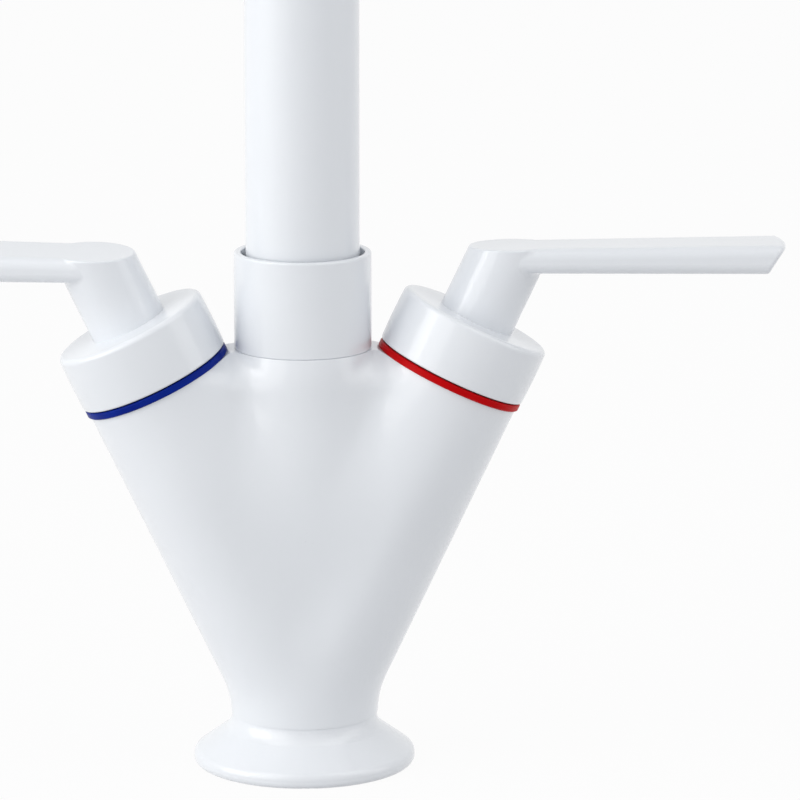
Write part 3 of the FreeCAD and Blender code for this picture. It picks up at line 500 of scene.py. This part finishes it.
def floor():
    """A plain white deck at the foot of the tap, on which the tap's shadow is too faint to see."""
    bpy.ops.mesh.primitive_plane_add(size=12.0, location=(0.0, 0.0, 0.0))
    plane = bpy.context.object
    plane.name = "deck"
    finish = Finish("deck_paint", Roughness=0.9)
    paper = finish.grain(finish.place(), 0.5, 1.0)
    finish.set(Base_Color=finish.blend(paper, (0.62, 0.62, 0.63, 1.0), (0.65, 0.65, 0.66, 1.0)))
    glow = finish.tree.nodes.new("ShaderNodeEmission")
    glow.inputs["Color"].default_value = (1.0, 1.0, 1.0, 1.0)
    mix = finish.tree.nodes.new("ShaderNodeMixShader")
    seen = seen_directly(finish.tree)
    plug(finish.tree, mix.inputs[0], seen * DECK_GLOW)
    finish.tree.links.new(finish.shader.outputs[0], mix.inputs[1])
    finish.tree.links.new(glow.outputs[0], mix.inputs[2])
    finish.tree.links.new(mix.outputs[0], finish.tree.nodes["Material Output"].inputs["Surface"])
    plane.data.materials.append(finish.material)


def seen_directly(tree):
    """1 for what is seen straight, in gloss or through glass, and 0 for light that falls on something."""
    path = tree.nodes.new("ShaderNodeLightPath")
    straight, gloss, glass = (Value(tree, path.outputs["Is %s Ray" % kind])
                              for kind in ("Camera", "Glossy", "Transmission"))
    return (straight + gloss + glass).at_most(1.0)


def surroundings(level):
    """An even pale room: white where it is seen, and a faintly cool fill on what it lights."""
    world = bpy.data.worlds.new("room")
    world.use_nodes = True
    tree = world.node_tree
    fill = tree.nodes["Background"]
    fill.inputs["Color"].default_value = (0.975, 0.985, 1.0, 1.0)
    fill.inputs["Strength"].default_value = level
    white = tree.nodes.new("ShaderNodeBackground")
    white.inputs["Color"].default_value = (1.0, 1.0, 1.0, 1.0)
    white.inputs["Strength"].default_value = 1.0
    mix = tree.nodes.new("ShaderNodeMixShader")
    plug(tree, mix.inputs[0], seen_directly(tree))
    tree.links.new(fill.outputs[0], mix.inputs[1])
    tree.links.new(white.outputs[0], mix.inputs[2])
    tree.links.new(mix.outputs[0], tree.nodes["World Output"].inputs["Surface"])
    bpy.context.scene.world = world


def softbox(name, azimuth, height, distance, power):
    """A large soft lamp aimed at the tap. Azimuth 0 is the viewer's side, and 90 the tap's right."""
    lamp = bpy.data.lights.new(name, "AREA")
    lamp.shape = "RECTANGLE"
    lamp.size = 1.0
    lamp.size_y = 1.2
    lamp.energy = power
    lamp.color = (1.0, 0.99, 0.965)
    holder = bpy.data.objects.new(name, lamp)
    turn = math.radians(azimuth)
    holder.location = (distance * math.sin(turn), -distance * math.cos(turn), height)
    aim = Vector((0.0, 0.0, 0.12)) - holder.location
    holder.rotation_euler = aim.to_track_quat("-Z", "Y").to_euler()
    bpy.context.scene.collection.objects.link(holder)


def camera():
    """The photograph's place to look from: in front, a little left and above, with a long lens."""
    eye = (-0.0922, -1.2967, 0.3731)
    heading, pitch = -0.08935, 0.213
    forward = Vector((-math.sin(heading) * math.cos(pitch),
                      math.cos(heading) * math.cos(pitch),
                      -math.sin(pitch)))
    right = Vector((math.cos(heading), math.sin(heading), 0.0))
    up = right.cross(forward)
    lens = bpy.data.cameras.new("camera")
    lens.sensor_width = 36.0
    lens.lens = 242.6
    lens.clip_start = 0.05
    lens.clip_end = 30.0
    holder = bpy.data.objects.new("camera", lens)
    turned = Matrix((right, up, -forward)).transposed()
    holder.matrix_world = Matrix.Translation(eye) @ turned.to_4x4()
    bpy.context.scene.collection.objects.link(holder)
    bpy.context.scene.camera = holder


floor()
surroundings(0.56)
softbox("left_window", azimuth=-80, height=0.5, distance=1.5, power=9.0)
softbox("front_left", azimuth=-50, height=0.5, distance=1.5, power=4.9)
softbox("high_left", azimuth=-60, height=1.4, distance=1.1, power=3.6)
softbox("high_right", azimuth=60, height=1.4, distance=1.1, power=3.4)
softbox("right_rim", azimuth=75, height=0.5, distance=1.5, power=3.2)
camera()

bpy.context.scene.view_settings.view_transform = "Standard"
bpy.context.view_layer.update()
